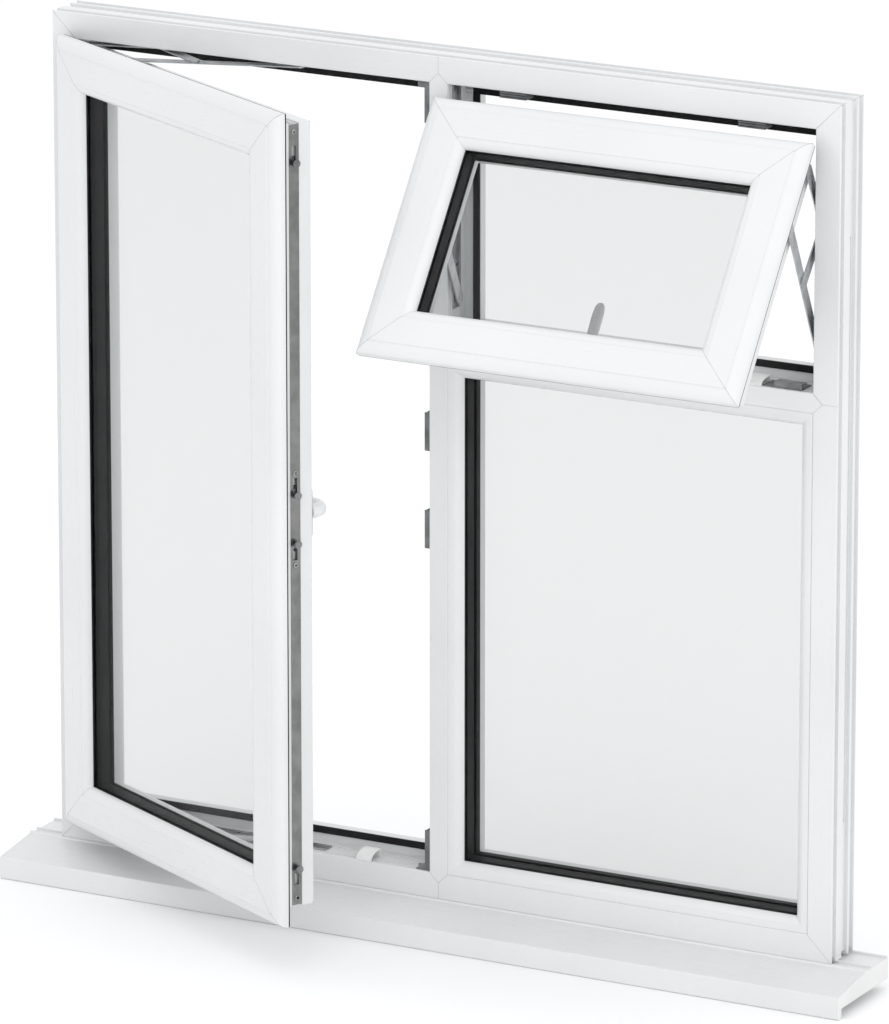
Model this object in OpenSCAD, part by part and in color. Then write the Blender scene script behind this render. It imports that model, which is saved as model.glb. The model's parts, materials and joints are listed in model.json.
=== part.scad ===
// Three-light white uPVC casement window: a side-hung casement on the left, a top-hung vent
// over a fixed light on the right, and a projecting sill.
// Set-out: x across the window from its left edge, y from the outside face towards the room,
// z up from the foot of the frame. at_origin() then moves the whole window to its bed mount.

/* [Frame] */
// Width of the outer frame
frame_w = 1200; // [1000:10:1500]
// Height of the outer frame
frame_h = 1190; // [950:10:1500]
// Depth of the frame profiles, from the outside face to the room face
frame_d = 70; // [70:1:80]
// Width of the frame's outside face, up to the rebate
face_w = 37; // [34:1:48]
// Height of the upstand above the rebate floor
upstand_w = 22; // [20:1:26]
// Thickness of the upstand, on the room side
upstand_d = 16; // [14:1:16]
// Width of the outside face of the mullion and the transom
mullion_w = 28; // [26:1:36]
// Distance of the mullion's centre line from the left edge of the frame
mullion_x = 600; // [500:10:700]
// Height of the transom's centre line above the foot of the frame
transom_z = 779; // [550:1:800]
// Thickness of the profiles' outer walls
wall = 2.8; // [2:0.1:3.2]

/* [Sashes] */
// How far the sash flange laps over the frame's outside face
lap = 8; // [6:1:10]
// Width from the flange edge to the side of the sash body
flange_w = 20; // [18:1:22]
// Depth from the sash's flat face to the back of its flange
flange_d = 19; // [17:1:22]
// Whole depth of the sash profile
sash_d = 72; // [68:1:74]
// Width of the moulded edge outside the flat face
ovolo_w = 18; // [15:1:20]
// Width of the flat face
flat_w = 38; // [34:1:44]
// Width of the inner moulding, from the flat face to the sight line
bevel_w = 14; // [12:1:16]
// Depth of the inner moulding
bevel_d = 12; // [10:1:14]
// Gap between the closed flange and the frame, filled by its gasket
flange_gap = 2; // [1.5:0.5:3]

/* [Glazing] */
// Thickness of the sealed unit
unit_t = 28; // [24:1:32]
// Thickness of each pane
pane_t = 4; // [4:1:6]
// How far the glazing rebates cover the edge of the glass
edge_cover = 15; // [12:1:16]
// Gap between the edge of the glass and the rebate, held by packers
glass_gap = 5; // [4:0.5:6]
// Thickness of the gaskets on each side of the glass
glass_gasket_t = 2.5; // [2:0.5:4]

/* [Open position] */
// Opening of the casement in the modelled position
casement_angle = 28.5; // [5:0.5:40]
// Opening of the vent in the modelled position
vent_angle = 36; // [28:0.5:36]
// Turn of the vent's long arms in the modelled position
vent_arm_angle = 25.5; // [20:0.5:26]

/* [Friction stays] */
// Depth of the line of stays and locks behind the frame's outside face
gear_y = 24; // [22:1:26]
// Width of the stay arms
arm_w = 15; // [12:1:16]
// Thickness of the stay arms
arm_t = 2; // [1.6:0.1:2.1]
// Radius of the stay rivets
rivet_r = 2.5; // [2:0.1:3]
// Length of the casement's long stay arms between pivots
casement_long_arm = 236; // [200:1:250]
// Length of the vent's long stay arms between pivots
vent_long_arm = 199; // [180:1:210]
// Length of the vent's short stay arms between pivots
vent_short_arm = 79.5; // [76:0.5:84]

/* [Locks] */
// Width of the lock faceplates
faceplate_w = 15.6; // [14:0.1:15.6]
// Travel of the lock rods from open to locked
rod_travel = 20; // [14:1:22]
// Length of the handles' base plates
handle_base_l = 76; // [60:1:90]
// Length of the handles' levers from the spindle to the tip
lever_l = 108; // [80:1:130]

/* [Sill] */
// How far each end of the sill runs past the frame
sill_horn = 52; // [10:1:80]
// How far the sill's nose stands in front of the frame
sill_nose = 84; // [60:1:110]
// Height of the sill's body under the frame
sill_t = 32; // [28:1:40]
// Height of the sill's nose
nose_h = 32; // [26:1:40]

/* [Hidden] */
$fn = 48;

// Colours
white = "white";
black = [0.06, 0.06, 0.06];
steel = [0.62, 0.64, 0.66];
zinc = [0.74, 0.76, 0.78];
clear = [0.85, 0.9, 0.9, 0.35];

// Half the face of the mullion, and the front of the upstand
half_w = mullion_w / 2;
upstand_y = frame_d - upstand_d;
// Play between moving pieces, running fit of the pivots, and the smallest gap between pieces
play = 0.3;
fit = 0.05;
eps = 0.01;
over = 1;

// Each light's rebate: left edge, foot, width and height
casement_light = [face_w, face_w, mullion_x - half_w - face_w, frame_h - 2 * face_w];
right_x = mullion_x + half_w;
right_w = frame_w - face_w - right_x;
vent_light = [right_x, transom_z + half_w, right_w, frame_h - face_w - transom_z - half_w];
fixed_light = [right_x, face_w, right_w, transom_z - half_w - face_w];

// Closed sashes: the flat face stands this far in front of the frame
proud = flange_d + flange_gap;
// Gap between the rebate floor and the sash body, and depths of the two steps of its groove
rebate_gap = flange_w - lap;
groove_d = 3;
slot_d = 3.5;
slot_w = 11;
// Depth of the gear line in the sash
gear_d = gear_y + proud;
// Distances from the flange edge to the sight line, the glass edge and the glazing platform
sight_u = ovolo_w + flat_w + bevel_w;
glass_u = sight_u - edge_cover;
platform_u = glass_u - glass_gap;
// Depths of the sealed unit in the sash
unit_d = bevel_d + glass_gasket_t;
inner_gasket_d = unit_d + unit_t;
bead_d = inner_gasket_d + glass_gasket_t + over;

// Fixed light: height of its beads above the rebate floor, and depth of its sealed unit
fixed_sight = edge_cover + glass_gap;
fixed_unit_y = bevel_d + over + glass_gasket_t;

// Two grooves along each rebate floor
floor_groove_d = 1.6;

// Outer channels of the frame profiles, each from its front to its back
channel_d = 5;
channels = [[3, 14], [frame_d / 2 - 3, frame_d / 2 + 14], [frame_d - 15, frame_d - 3]];
// Chamber that holds the reinforcement
steel_y = [15, frame_d - 24];
steel_t = 1.5;

// Sash chamber that holds the reinforcement, as depths and distances from the flange edge
sash_steel_d = [flange_d + 5, sash_d - wall];
sash_steel_u = [flange_w + groove_d + slot_d + wall, platform_u - wall];

// Fixing holes through the jambs: their radius, heights and depth
fixing_r = 4;
fixing_z = [190, frame_h - 190];
fixing_y = 40;

// Stay levels above the rebate floor
track_t = 1.2;
lip_h = 2.5;
level_a = lip_h + play;
level_b = level_a + arm_t + play;
track_w = 20;
// Stay pivots on the sashes, measured from the sash's hinge edge
stay_pivot_near = 25;
casement_pivot_far = 130;
vent_pivot_far = 110;
// Casement stay pivots on the frame, measured from the rebate's hinge corner
casement_short_pivot = 108;
casement_link_pivot = 127;
// Place of the link's rivet on the long arm, from the arm's sash end and from its frame end
casement_link_at = 90;
vent_link_at = 107.7;
// Distance between the two rivets of a vent shoe
shoe_span = 24;

// Turns a point [along the track, depth] as the sash opens by an angle
function opened(v, angle) = [
    cos(angle) * v[0] + sin(angle) * v[1],
    -sin(angle) * v[0] + cos(angle) * v[1]
];
// Distance from a track point to the pivot that an arm of a given length reaches from p
function reach(p, length) = p[0] + sqrt(length * length - (gear_y - p[1]) * (gear_y - p[1]));

// The casement turns about a virtual axis in its hinge jamb, given from the rebate's corner
casement_axis = [-28, 4];
function casement_at(v) = casement_axis + opened(v - casement_axis, casement_angle);
casement_near = casement_at([stay_pivot_near - lap, gear_y]);
casement_far = casement_at([casement_pivot_far - lap, gear_y]);
casement_shoe = reach(casement_far, casement_long_arm);
casement_arm_dir = ([casement_shoe, gear_y] - casement_far) / casement_long_arm;
casement_link_pin = casement_far + casement_link_at * casement_arm_dir;

// The vent hangs on its long arms: pivots measured down from the rebate's top corner
vent_fixed = [vent_pivot_far - lap + vent_long_arm, gear_y];
vent_arm_dir = [-cos(vent_arm_angle), -sin(vent_arm_angle)];
vent_far = vent_fixed + vent_long_arm * vent_arm_dir;
vent_near = vent_far + opened([stay_pivot_near - vent_pivot_far, 0], vent_angle);
vent_shoe = reach(vent_near, vent_short_arm);
vent_link_pin = vent_fixed + vent_link_at * vent_arm_dir;

// Locks: distance of the cams from the ends of their rebates and from the gearbox
casement_end_cam = 66;
vent_end_cam = 67;
mid_cam = 34;
keep_l = 54;
vent_keep_l = 58;
keep_gap = 8;
cam_stem_r = 2.8;
cam_head_r = 5.5;
cam_top = 4.2;
spindle_in = 22;
gearbox_l = 90;
mid_screw = 64;

module at_origin() {
    translate([-frame_w / 2, -frame_d / 2, sill_t]) children();
}

// ---- Placing and cutting ----

// Extrudes a section drawn as [depth, height] along x
module along_x(length) {
    rotate([90, 0, 90]) linear_extrude(length) children();
}

// Extrudes an outline drawn as [x, z] through the depth from y0 to y1
module slab(y0, y1) {
    translate([0, y1, 0]) rotate([90, 0, 0]) linear_extrude(y1 - y0) children();
}

// Puts a bar drawn along x on side i of a w by h rectangle: 0 foot, 1 right, 2 top, 3 left
module on_side(i, w, h) {
    corners = [[0, 0, 0], [w, 0, 0], [w, 0, h], [0, 0, h]];
    translate(corners[i]) rotate([0, -90 * i, 0]) children();
}

// One mitred bar on side i of rectangle r, whose section reaches from height u0 to u1
module mitred_bar(r, i, u0, u1, y0, y1) {
    length = i % 2 == 0 ? r[2] : r[3];
    ends = [[u0, u0], [length - u0, u0], [length - u1, u1], [u1, u1]];
    translate([r[0], 0, r[1]]) on_side(i, r[2], r[3]) intersection() {
        translate([u0, 0, 0]) along_x(length - 2 * u0) children();
        slab(y0 - over, y1 + over) polygon(ends);
    }
}

// A rectangular ring inside rectangle r, from u0 to u1 inwards and from y0 to y1 in depth
module ring(r, u0, u1, y0, y1) {
    difference() {
        translate([r[0] + u0, y0, r[1] + u0]) cube([r[2] - 2 * u0, y1 - y0, r[3] - 2 * u0]);
        translate([r[0] + u1, y0 - over, r[1] + u1])
            cube([r[2] - 2 * u1, y1 - y0 + 2 * over, r[3] - 2 * u1]);
    }
}

// A plate that fills rectangle r to within u of its edges
module sheet_in(r, u, y0, y1) {
    translate([r[0] + u, y0, r[1] + u]) cube([r[2] - 2 * u, y1 - y0, r[3] - 2 * u]);
}

// A rectangle in a section, from corner a to corner b
module cell(a, b) {
    translate(a) square(b - a);
}

// Points of a convex quarter ellipse, from straight above its centre to beside it
function quarter(centre, rx, ry, steps = 9) = [
    for (k = [0:steps]) centre + [-rx * cos(90 * k / steps), ry * sin(90 * k / steps)]
];

// The rectangle of a sash's flange edges, from its light
function sash_rect(l) = [l[0] - lap, l[1] - lap, l[2] + 2 * lap, l[3] + 2 * lap];
casement_rect = sash_rect(casement_light);
vent_rect = sash_rect(vent_light);

// Puts pieces drawn in the closed sash's depth, 0 at its flat face, into the closed window
module sash_depth() {
    translate([0, -proud, 0]) children();
}

module casement_open() {
    axis = [casement_light[0] + casement_axis[0], casement_axis[1], 0];
    translate(axis) rotate([0, 0, -casement_angle]) translate(-axis) children();
}

module vent_open() {
    top = vent_light[1] + vent_light[3];
    closed = [0, gear_y, top - vent_pivot_far + lap];
    moved = [0, vent_far[1], top - vent_far[0]];
    translate(moved) rotate([-vent_angle, 0, 0]) translate(-closed) children();
}

// ---- Profiles ----

module frame_section() {
    tip = face_w + upstand_w;
    floor_cut = face_w - floor_groove_d;
    difference() {
        polygon([
            [0.8, 0], [0, 0.8], [0, face_w - 1.6], [0.5, face_w - 0.5], [1.6, face_w],
            [8, face_w], [8, floor_cut], [11, floor_cut], [11, face_w],
            [37, face_w], [37, floor_cut], [40, floor_cut], [40, face_w],
            [upstand_y, face_w], [upstand_y, tip - 1], [upstand_y + 1, tip],
            [frame_d - 2, tip], [frame_d - 0.6, tip - 0.6], [frame_d, tip - 2],
            [frame_d, 0.8], [frame_d - 0.8, 0]
        ]);
        for (c = channels) cell([c[0], -over], [c[1], channel_d]);
        gasket_slot(1);
        cell([wall, channel_d + wall], [steel_y[0] - 2, face_w - wall]);
        cell([steel_y[0], channel_d + wall], [steel_y[1], face_w - wall]);
        cell([steel_y[1] + 2, channel_d + wall], [frame_d - wall, face_w - wall]);
        cell([upstand_y + 6, face_w], [frame_d - wall, tip - wall]);
    }
}

// Slot for the rebate gasket's foot in the upstand
module gasket_slot(side) {
    translate([upstand_y - over, side > 0 ? face_w + 14 : -half_w - 17]) square([3 + over, 3]);
}

// The mullion and the transom have a rebate on each side
module tee_section() {
    tip = half_w + upstand_w;
    cut = half_w - floor_groove_d;
    difference() {
        union() {
            polygon([
                [0, 1 - half_w], [0, half_w - 1], [1, half_w], [8, half_w], [8, cut], [11, cut],
                [11, half_w], [37, half_w], [37, cut], [40, cut], [40, half_w],
                [upstand_y + over, half_w], [upstand_y + over, -half_w], [40, -half_w],
                [40, -cut], [37, -cut], [37, -half_w], [11, -half_w], [11, -cut], [8, -cut],
                [8, -half_w], [1, -half_w]
            ]);
            polygon([
                [upstand_y, 1 - tip], [upstand_y, tip - 1], [upstand_y + 1, tip],
                [frame_d - 1, tip], [frame_d, tip - 1], [frame_d, 1 - tip], [frame_d - 1, -tip],
                [upstand_y + 1, -tip]
            ]);
        }
        for (side = [-1, 1]) translate([upstand_y - over, side * (half_w + 15.5) - 1.5])
            square([3 + over, 3]);
        cell([wall, wall - half_w], [steel_y[0] - 2, half_w - wall]);
        cell([steel_y[0], wall - half_w], [steel_y[1], half_w - wall]);
        cell([steel_y[1] + 2, wall - half_w], [upstand_y + 3, half_w - wall]);
        for (side = [-1, 1]) cell([upstand_y + 6, side > 0 ? 4 : wall - tip],
            [frame_d - wall, side > 0 ? tip - wall : -4]);
    }
}

module sash_section() {
    edge = quarter([bevel_d + 2, ovolo_w - 0.5], bevel_d + 0.5, 0.5 - ovolo_w);
    mould = quarter([bevel_d, sight_u - bevel_w + 0.8], bevel_d - 1.2, bevel_w - 0.8);
    difference() {
        polygon(concat(
            [[0, ovolo_w], [0, sight_u - bevel_w]],
            mould,
            [[bevel_d, platform_u], [sash_d - 1.5, platform_u], [sash_d, platform_u - 1.5],
                [sash_d, flange_w + 2], [sash_d - 0.6, flange_w + 0.6], [sash_d - 2, flange_w],
                [gear_d + 8, flange_w], [gear_d + 8, flange_w + groove_d],
                [gear_d + slot_w / 2, flange_w + groove_d],
                [gear_d + slot_w / 2, flange_w + groove_d + slot_d],
                [gear_d - slot_w / 2, flange_w + groove_d + slot_d],
                [gear_d - slot_w / 2, flange_w + groove_d], [gear_d - 8, flange_w + groove_d],
                [gear_d - 8, flange_w], [flange_d, flange_w], [flange_d, 8],
                [flange_d - 2.5, 8], [flange_d - 2.5, 5], [flange_d, 5], [flange_d, 0.5],
                [flange_d - 0.5, 0]],
            [for (k = [len(edge) - 1:-1:0]) edge[k]]
        ));
        cell([wall, flange_w + 1], [flange_d + 2, platform_u + 2]);
        cell([sash_steel_d[0], sash_steel_u[0]], [sash_steel_d[1], sash_steel_u[1]]);
    }
}

// Bead on the room side of a sash's glass
module sash_bead_section() {
    room = sash_d - 2.5;
    rise = sight_u - platform_u - 0.2;
    curve = [for (k = [0:8]) [bead_d + 4 + (room - bead_d - 4) * sin(11.25 * k),
        platform_u + 0.2 + 5 + (rise - 5) * cos(11.25 * k)]];
    polygon(concat([[bead_d, platform_u + 0.2], [bead_d, sight_u]], curve,
        [[room, platform_u + 0.2]]));
}

// Bead on the outside of the fixed light's glass
module fixed_bead_section() {
    curve = quarter([bevel_d + over, 0.6], bevel_d, fixed_sight - 0.6);
    polygon(concat([[1, 0.1]], curve, [[bevel_d + over, 0.1]]));
}

// Bar of side i in the outer frame, before its joints are cut
module frame_bar(i) {
    mitred_bar([0, 0, frame_w, frame_h], i, 0, face_w + upstand_w, 0, frame_d) frame_section();
}

// ---- Outer frame ----

// Notch or point of the welded V joint between a bar and the frame, apex at its centre
module v_joint(corner, tip, other) {
    slab(-over, upstand_y) polygon([corner, tip, other]);
}

module mullion_foot() {
    v_joint([mullion_x - half_w, face_w], [mullion_x, face_w - half_w], [right_x, face_w]);
}

module mullion_top() {
    v_joint([mullion_x - half_w, frame_h - face_w], [mullion_x, frame_h - face_w + half_w],
        [right_x, frame_h - face_w]);
}

module transom_left_end() {
    v_joint([right_x, transom_z - half_w], [mullion_x, transom_z], [right_x, transom_z + half_w]);
}

module transom_right_end() {
    edge = frame_w - face_w;
    v_joint([edge, transom_z - half_w], [edge + half_w, transom_z], [edge, transom_z + half_w]);
}

module fixing_holes() {
    for (z = fixing_z) translate([-over, fixing_y, z]) rotate([0, 90, 0])
        cylinder(h = frame_w + 2 * over, r = fixing_r);
}

// Grooves for the feet of the rebate gaskets, which run on past the joints of the upstands
module gasket_grooves() {
    for (l = [casement_light, vent_light]) ring(l, 14, 17, upstand_y - over, upstand_y + 3);
}

module head() {
    color(white) difference() { frame_bar(2); mullion_top(); gasket_grooves(); }
}

module bottom_rail() {
    color(white) difference() { frame_bar(0); mullion_foot(); gasket_grooves(); }
}

module left_jamb() {
    color(white) difference() { frame_bar(3); fixing_holes(); }
}

module right_jamb() {
    color(white) difference() {
        frame_bar(1);
        transom_right_end();
        fixing_holes();
        gasket_grooves();
    }
}

module mullion() {
    tip = half_w + upstand_w + over;
    low = face_w + upstand_w;
    color(white) difference() {
        intersection() {
            translate([mullion_x, 0, 0]) rotate([0, -90, 0]) along_x(frame_h) tee_section();
            union() {
                translate([mullion_x - half_w, -over, face_w])
                    cube([mullion_w, upstand_y + over, frame_h - 2 * face_w]);
                mullion_foot();
                mullion_top();
                translate([mullion_x - tip, upstand_y, low])
                    cube([2 * tip, upstand_d + over, frame_h - 2 * low]);
            }
        }
        transom_left_end();
        gasket_grooves();
        keep_screw_holes();
    }
}

module transom() {
    tip = half_w + upstand_w + over;
    color(white) difference() {
        intersection() {
            translate([0, 0, transom_z]) along_x(frame_w) tee_section();
            union() {
                translate([right_x, -over, transom_z - half_w])
                    cube([right_w, upstand_y + over, mullion_w]);
                transom_left_end();
                transom_right_end();
                translate([right_x + upstand_w, upstand_y, transom_z - tip])
                    cube([right_w - 2 * upstand_w, upstand_d + over, 2 * tip]);
            }
        }
        keep_screw_holes();
    }
}

// Square steel tube along x, from height u0 to u1 and from y0 to y1
module steel_tube(length, y0, y1, u0, u1) {
    along_x(length) difference() {
        cell([y0, u0], [y1, u1]);
        cell([y0 + steel_t, u0 + steel_t], [y1 - steel_t, u1 - steel_t]);
    }
}

// Reinforcement in the main chamber of every frame profile, short of the welded corners
module frame_steels() {
    back = face_w + 8;
    low = channel_d + wall + play;
    high = face_w - wall - play;
    y0 = steel_y[0] + play;
    y1 = steel_y[1] - play;
    thin = half_w - wall - play;
    foot = face_w + 16;
    color(steel) difference() {
        union() {
            for (i = [1, 3]) on_side(i, frame_w, frame_h)
                translate([back, 0, 0]) steel_tube(frame_h - 2 * back, y0, y1, low, high);
            for (i = [0, 2]) on_side(i, frame_w, frame_h) {
                first = i == 0 ? mullion_x : frame_w - mullion_x;
                translate([back, 0, 0]) steel_tube(first - back - half_w - 4, y0, y1, low, high);
                translate([first + half_w + 4, 0, 0])
                    steel_tube(frame_w - first - back - half_w - 4, y0, y1, low, high);
            }
            translate([mullion_x, 0, foot]) rotate([0, -90, 0])
                steel_tube(transom_z - half_w - 6 - foot, y0, y1, -thin, thin);
            translate([mullion_x, 0, transom_z + half_w + 6]) rotate([0, -90, 0])
                steel_tube(frame_h - foot - transom_z - half_w - 6, y0, y1, -thin, thin);
            translate([right_x + 6, 0, transom_z])
                steel_tube(right_w - 12, y0, y1, -thin, thin);
        }
        fixing_holes();
        keep_screw_holes();
        translate([frame_w - face_w - over, 0, transom_z - half_w - 6])
            cube([face_w, frame_d, mullion_w + 12]);
    }
}

// ---- Sill ----

sill_cap_t = 2;
nose_z = -14;
drip_w = 9;
slope_t = 3;

function sill_top() = [
    [frame_d, 0], [frame_d - 4, 0], [frame_d - 4, -3], [22, -3], [22, 0], [18, 0], [18, -3],
    [4, -3], [4, 0], [0, 0], [-2, -3], [2 - sill_nose, nose_z], [0.5 - sill_nose, nose_z - 0.7],
    [-sill_nose, nose_z - 2.5]
];

module sill_outline() {
    polygon(concat(sill_top(), [
        [-sill_nose, nose_z - nose_h + 1], [1 - sill_nose, nose_z - nose_h],
        [drip_w - sill_nose, nose_z - nose_h], [drip_w - sill_nose, -sill_t],
        [frame_d, -sill_t]
    ]));
}

// The sill is a hollow extrusion: the chambers follow its outline at a wall's distance
module sill() {
    split = [-38, -4, 26];
    length = frame_w + 2 * sill_horn - 2 * sill_cap_t;
    color(white) translate([sill_cap_t - sill_horn, 0, 0]) difference() {
        along_x(length) sill_outline();
        translate([-over, 0, 0]) along_x(length + 2 * over) {
            polygon([[wall - sill_nose, nose_z - 4.2], [-40, -12.2], [-40, wall - sill_t],
                [wall - sill_nose, wall - sill_t]]);
            polygon([[-38, -11.9], [-4, -7.2], [-4, wall - sill_t], [-38, wall - sill_t]]);
            cell([-2, wall - sill_t], [24, -3 - wall]);
            cell([26, wall - sill_t], [frame_d - wall, -3 - wall]);
        }
    }
}

module sill_end_caps() {
    color(white) for (x = [-sill_horn, frame_w + sill_horn - sill_cap_t])
        translate([x, 0, 0]) along_x(sill_cap_t) sill_outline();
}

// ---- Frame gaskets and fixed glazing ----

module rebate_gasket(l) {
    sash_back = sash_d - proud;
    ring(l, rebate_gap, upstand_w - 0.2, sash_back + 0.2, upstand_y);
    ring(l, 14.1, 16.9, upstand_y, upstand_y + 2.8);
}

module rebate_gaskets() {
    color(black) {
        rebate_gasket(casement_light);
        rebate_gasket(vent_light);
    }
}

module fixed_gaskets() {
    l = fixed_light;
    front = bevel_d + over;
    color(black) {
        ring(l, fixed_sight - 8, fixed_sight + 0.6, front, fixed_unit_y);
        ring(l, fixed_sight - 12, upstand_w + 0.4, fixed_unit_y + unit_t, upstand_y);
    }
}

module sealed_panes(r, u, d) {
    sheet_in(r, u, d, d + pane_t);
    sheet_in(r, u, d + unit_t - pane_t, d + unit_t);
}

module fixed_glass() {
    color(clear) sealed_panes(fixed_light, glass_gap, fixed_unit_y);
}

module fixed_spacer() {
    y0 = fixed_unit_y + pane_t;
    color(black) ring(fixed_light, glass_gap + 0.5, fixed_sight + 0.6, y0, y0 + unit_t - 2 * pane_t);
}

module fixed_beads() {
    color(white) for (i = [0:3])
        mitred_bar(fixed_light, i, 0, fixed_sight, 0, frame_d) fixed_bead_section();
}

// Packers between the edge of a sealed unit and its rebate, two to a side
module packers(r, u, d) {
    for (i = [0:3]) {
        length = i % 2 == 0 ? r[2] : r[3];
        for (x = [u + 40, length - u - 120]) translate([r[0], 0, r[1]]) on_side(i, r[2], r[3])
            translate([x, d, u]) cube([80, unit_t, glass_gap]);
    }
}

module fixed_packers() {
    color(black) packers(fixed_light, 0, fixed_unit_y);
}

// ---- Sashes ----

module sash_bar(r, i) {
    sash_depth() mitred_bar(r, i, 0, sight_u, 0, sash_d) sash_section();
}

// Room for the gearbox and the spindle, cut from the bar on a sash's lock side
module lock_pocket(length) {
    translate([length / 2 - gearbox_l / 2 - over, gear_y - 8, rebate_gap])
        cube([gearbox_l + 2 * over, 16, platform_u - lap - rebate_gap - 1.4]);
    translate([length / 2, gear_y, rebate_gap + spindle_in]) rotate([-90, 0, 0])
        cylinder(h = sash_d, r = 5.6);
}

module casement_lock_side() {
    l = casement_light;
    translate([l[0] + l[2], 0, l[1]]) rotate([0, -90, 0]) children();
}

module vent_lock_side() {
    translate([vent_light[0], 0, vent_light[1]]) children();
}

module casement_rails() {
    color(white) casement_open() for (i = [0, 2]) sash_bar(casement_rect, i);
}

module casement_hinge_stile() {
    color(white) casement_open() sash_bar(casement_rect, 3);
}

module casement_lock_stile() {
    color(white) casement_open() difference() {
        sash_bar(casement_rect, 1);
        casement_lock_side() lock_pocket(casement_light[3]);
    }
}

module vent_rails() {
    color(white) vent_open() {
        sash_bar(vent_rect, 2);
        difference() {
            sash_bar(vent_rect, 0);
            vent_lock_side() lock_pocket(vent_light[2]);
        }
    }
}

module vent_stiles() {
    color(white) vent_open() for (i = [1, 3]) sash_bar(vent_rect, i);
}

// Reinforcement of a sash, in two lengths beside the gearbox on lock side i
module sash_steels(r, lock_side) {
    back = sight_u + 4;
    d0 = sash_steel_d[0] + play;
    d1 = sash_steel_d[1] - play;
    u0 = sash_steel_u[0] + play;
    u1 = sash_steel_u[1] - play;
    sash_depth() translate([r[0], 0, r[1]]) for (i = [0:3]) on_side(i, r[2], r[3]) {
        length = i % 2 == 0 ? r[2] : r[3];
        half = length / 2 - back - gearbox_l / 2 - 5;
        if (i == lock_side) {
            translate([back, 0, 0]) steel_tube(half, d0, d1, u0, u1);
            translate([length - back - half, 0, 0]) steel_tube(half, d0, d1, u0, u1);
        } else {
            translate([back, 0, 0]) steel_tube(length - 2 * back, d0, d1, u0, u1);
        }
    }
}

module casement_steels() {
    color(steel) casement_open() sash_steels(casement_rect, 1);
}

module vent_steels() {
    color(steel) vent_open() sash_steels(vent_rect, 0);
}

// Gasket behind the flange, with its foot in the flange's slot
module flange_gasket(r) {
    sash_depth() {
        ring(r, 0.4, 9, flange_d, flange_d + flange_gap - 0.2);
        ring(r, 5.1, 7.9, flange_d - 2.4, flange_d);
    }
}

module glass_gaskets(r) {
    sash_depth() {
        ring(r, sight_u - 8, sight_u + 0.6, bevel_d, unit_d);
        ring(r, sight_u - 8, sight_u + 0.4, inner_gasket_d, bead_d);
    }
}

module spacer(r) {
    sash_depth() ring(r, glass_u + 0.5, sight_u + 0.6, unit_d + pane_t, unit_d + unit_t - pane_t);
}

module sash_beads(r) {
    sash_depth() for (i = [0:3]) mitred_bar(r, i, 0, sight_u, 0, sash_d) sash_bead_section();
}

module casement_flange_gasket() {
    color(black) casement_open() flange_gasket(casement_rect);
}

module casement_glass_gaskets() {
    color(black) casement_open() glass_gaskets(casement_rect);
}

module casement_glass() {
    color(clear) casement_open() sash_depth() sealed_panes(casement_rect, glass_u, unit_d);
}

module casement_spacer() {
    color(black) casement_open() spacer(casement_rect);
}

module casement_beads() {
    color(white) casement_open() sash_beads(casement_rect);
}

module casement_packers() {
    color(black) casement_open() sash_depth() packers(casement_rect, platform_u, unit_d);
}

module vent_flange_gasket() {
    color(black) vent_open() flange_gasket(vent_rect);
}

module vent_glass_gaskets() {
    color(black) vent_open() glass_gaskets(vent_rect);
}

module vent_glass() {
    color(clear) vent_open() sash_depth() sealed_panes(vent_rect, glass_u, unit_d);
}

module vent_spacer() {
    color(black) vent_open() spacer(vent_rect);
}

module vent_beads() {
    color(white) vent_open() sash_beads(vent_rect);
}

// ---- Friction stays ----
// A stay is drawn flat: x along its track from the hinge corner, y as the window's depth, and
// z as the height above the rebate floor.

module casement_stays() {
    l = casement_light;
    translate([l[0], 0, l[1]]) children();
    translate([l[0], 0, l[1] + l[3]]) mirror([0, 0, 1]) children();
}

module vent_stays() {
    l = vent_light;
    translate([l[0], 0, l[1] + l[3]]) rotate([0, 90, 0]) children();
    translate([l[0] + l[2], 0, l[1] + l[3]]) mirror([1, 0, 0]) rotate([0, 90, 0]) children();
}

// Flat arm between two rivets at height z0, with a hole for each end that asks for one
module arm(a, b, z0, hole_a, hole_b) {
    gap = b - a;
    length = norm(gap);
    translate([a[0], a[1], z0]) rotate([0, 0, atan2(gap[1], gap[0])]) difference() {
        linear_extrude(arm_t) union() {
            translate([0, -arm_w / 2]) square([length, arm_w]);
            circle(arm_w / 2);
            translate([length, 0]) circle(arm_w / 2);
        }
        if (hole_a) translate([0, 0, -over]) cylinder(h = arm_t + 2 * over, r = rivet_r + fit);
        if (hole_b) translate([length, 0, -over])
            cylinder(h = arm_t + 2 * over, r = rivet_r + fit);
    }
}

// Upright disc or rivet at a point
module disc(at, z0, z1, r) {
    translate([at[0], at[1], z0]) cylinder(h = z1 - z0, r = r);
}

// Channel screwed to the rebate floor, in which the shoe slides
module track(length) {
    start = 4;
    translate([start, gear_y - track_w / 2, 0]) {
        cube([length - start, track_w, track_t]);
        for (y = [0, track_w - 1]) translate([0, y, 0]) cube([length - start, 1, lip_h]);
    }
}

// The shoe's body at x, and its rivets up to height top
module shoe(x0, x1) {
    translate([x0, gear_y - track_w / 2 + 1.3, track_t + play])
        cube([x1 - x0, track_w - 2.6, lip_h - track_t - play]);
}

screw_r = 3.4;
casement_track_l = casement_pivot_far - lap + casement_long_arm + 20;
vent_track_l = vent_fixed[0] + 14;

module casement_stay_tracks() {
    color(zinc) casement_stays() {
        track(casement_track_l);
        disc([casement_short_pivot, gear_y], track_t, level_a + arm_t - fit, rivet_r);
        disc([casement_link_pivot, gear_y], track_t, level_a + arm_t - fit, rivet_r);
    }
}

module casement_short_arms() {
    color(zinc) casement_stays()
        arm([casement_short_pivot, gear_y], casement_near, level_a, true, false);
}

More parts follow.
